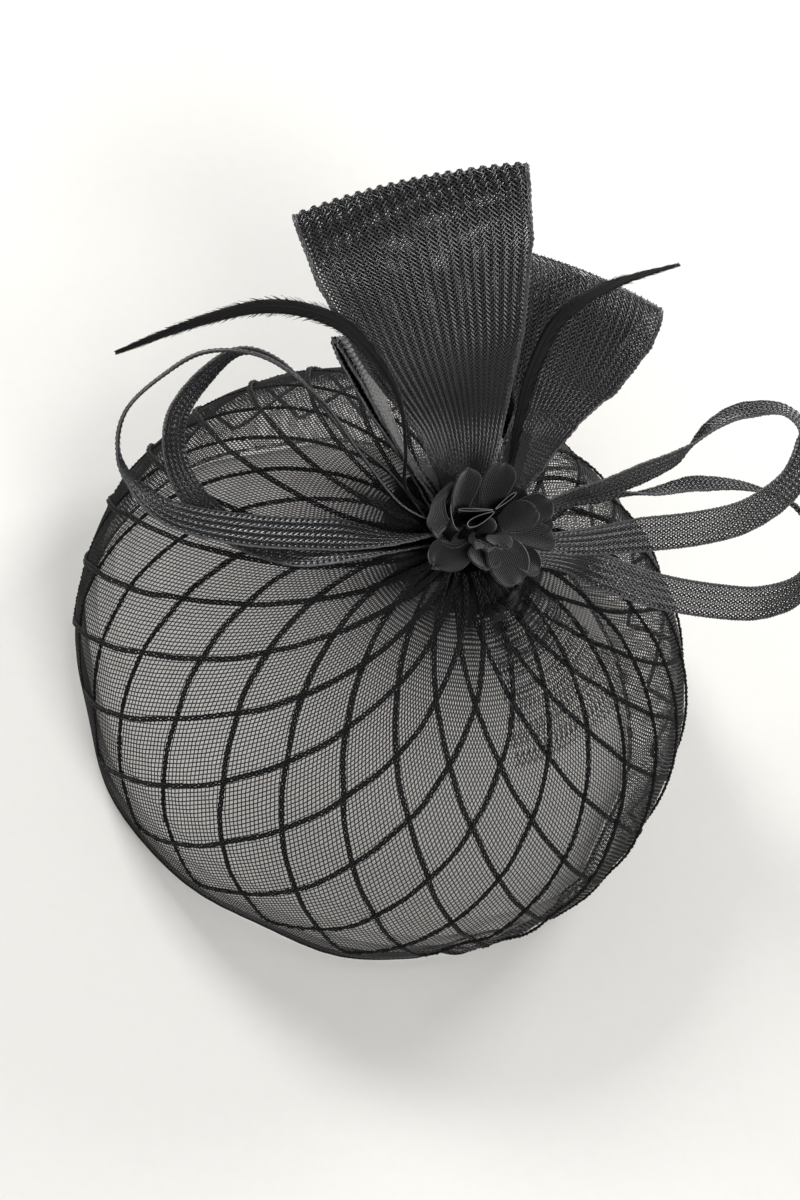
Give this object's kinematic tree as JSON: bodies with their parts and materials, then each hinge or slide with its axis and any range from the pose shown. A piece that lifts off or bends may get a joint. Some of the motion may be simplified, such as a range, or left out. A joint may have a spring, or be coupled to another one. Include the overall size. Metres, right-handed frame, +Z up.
{
  "type": "fascinator",
  "caption": "Headpiece with a deep gathered dome of open net, topped by a cloth flower, standing loops of crin, long ribbon loops and thin feathers.",
  "frame": {"origin": "middle of the underside of the whole object's box, on the plane that the brim's rim stands on", "axes": "+Z up along the brim's axis, -Y towards the wearer's front, +X along the longest side, towards the end with the two broad ribbon loops"},
  "size_m": [0.2972, 0.259, 0.2385],
  "materials": {
    "crin_net": "open net of black crin, slightly glossy",
    "crin_braid": "woven black crin ribbon, slightly glossy",
    "felt": "matt black felt",
    "cotton": "matt black cloth",
    "satin": "black satin ribbon",
    "feather": "black feather blade",
    "clip_lacquer": "black lacquer"
  },
  "bodies": {
    "root": {"base_disc": "felt", "binding": "satin", "bow_front": "crin_braid", "bow_left": "crin_braid", "bow_right": "crin_braid", "feather_left": "feather", "feather_right": "feather", "flower_core": "satin", "fold_strip": "cotton", "hair_clip": "clip_lacquer", "net_brim": "crin_net", "petal_inner_1": "cotton", "petal_inner_2": "cotton", "petal_inner_3": "cotton", "petal_inner_4": "cotton", "petal_outer_1": "cotton", "petal_outer_2": "cotton", "petal_outer_3": "cotton", "petal_outer_4": "cotton", "petal_outer_5": "cotton", "petal_outer_6": "cotton", "satin_knot": "satin", "strip_left_inner": "crin_braid", "strip_left_outer": "crin_braid", "strip_right_lower": "crin_braid", "strip_right_upper": "crin_braid"}
  },
  "joints": []
}
